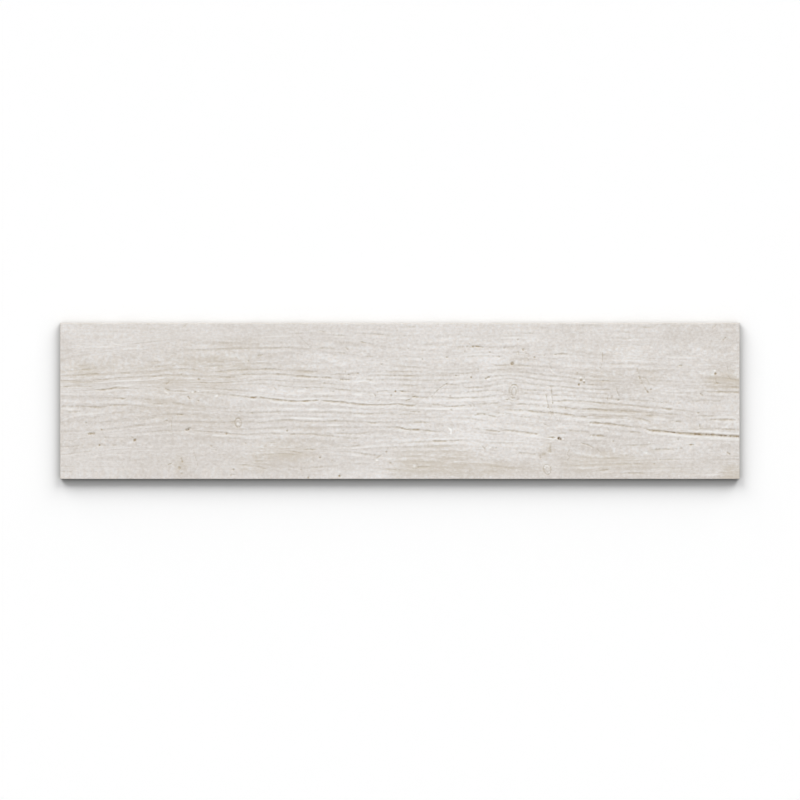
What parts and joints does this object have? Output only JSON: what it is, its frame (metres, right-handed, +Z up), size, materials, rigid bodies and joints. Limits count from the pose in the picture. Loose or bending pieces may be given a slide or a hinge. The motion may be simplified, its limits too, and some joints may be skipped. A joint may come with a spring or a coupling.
{
  "type": "wood look porcelain plank tile",
  "caption": "Long rectangular floor and wall tile with a pale wood-grain printed face, eased edges and a ribbed back for bonding.",
  "frame": {"origin": "centre of the footprint, on the plane of the back rib crests that the tile rests on", "axes": "+X along the length, +Y across the width, +Z up out of the printed face"},
  "size_m": [1, 0.23, 0.01],
  "materials": {
    "matte_porcelain": "matte"
  },
  "bodies": {
    "root": {"plank_tile": "matte_porcelain"}
  },
  "joints": []
}
